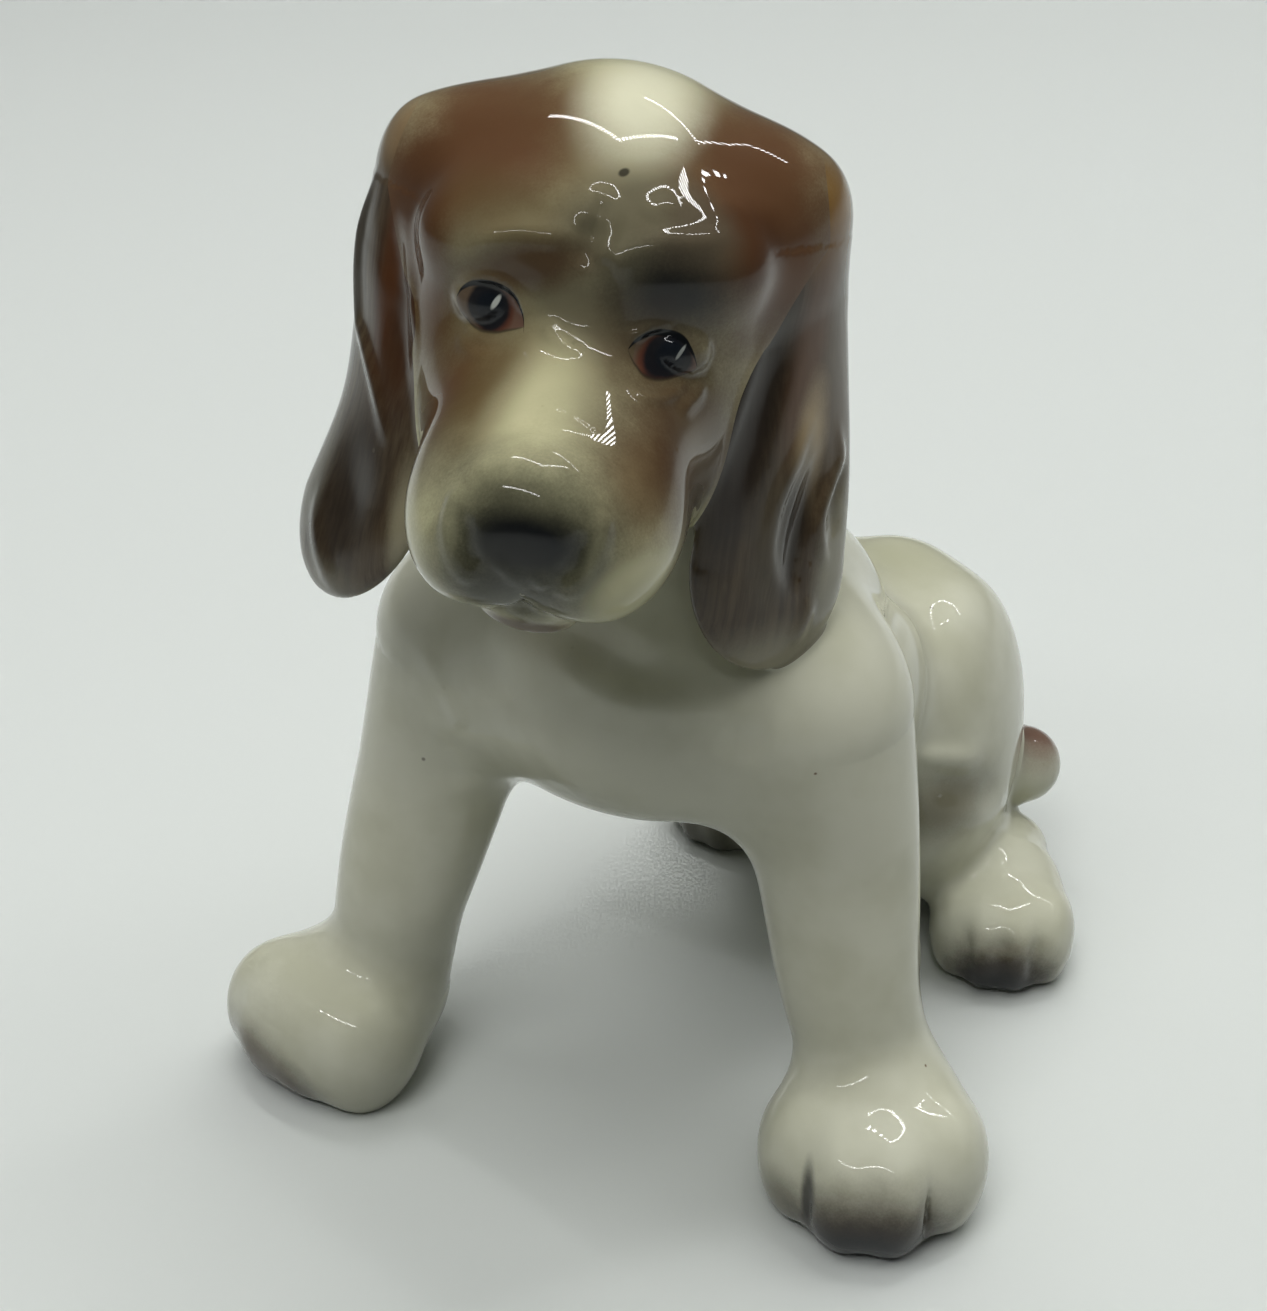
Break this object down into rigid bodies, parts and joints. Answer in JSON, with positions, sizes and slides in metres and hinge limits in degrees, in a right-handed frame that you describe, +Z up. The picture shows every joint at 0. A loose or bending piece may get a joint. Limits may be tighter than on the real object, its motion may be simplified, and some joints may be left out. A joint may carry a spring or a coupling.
{
  "type": "dog figurine",
  "caption": "Seated long-eared puppy figurine in glazed porcelain, head turned and tilted, forelegs splayed, short tail curled at the left haunch.",
  "frame": {"origin": "middle of the footprint's bounding box, on the table plane under the paws", "axes": "+Z up, the dog's body faces -Y, its left side is +X"},
  "size_m": [0.1008, 0.123, 0.1322],
  "materials": {
    "torso": "clear gloss glaze over cream porcelain",
    "head": "clear gloss glaze over airbrushed brown, grey and cream",
    "ear_left": "clear gloss glaze over airbrushed brown and blue grey",
    "ear_right": "clear gloss glaze over airbrushed brown and blue grey",
    "foreleg_left": "clear gloss glaze over cream porcelain, toes airbrushed dark",
    "foreleg_right": "clear gloss glaze over cream porcelain, toes airbrushed dark",
    "hind_leg_left": "clear gloss glaze over cream porcelain, toes airbrushed dark",
    "hind_leg_right": "clear gloss glaze over cream porcelain, toes airbrushed dark",
    "tail": "clear gloss glaze over airbrushed red brown fading to grey white"
  },
  "bodies": {
    "root": {"torso": "torso", "head": "head", "ear_left": "ear_left", "ear_right": "ear_right", "foreleg_left": "foreleg_left", "foreleg_right": "foreleg_right", "hind_leg_left": "hind_leg_left", "hind_leg_right": "hind_leg_right", "tail": "tail"}
  },
  "joints": []
}
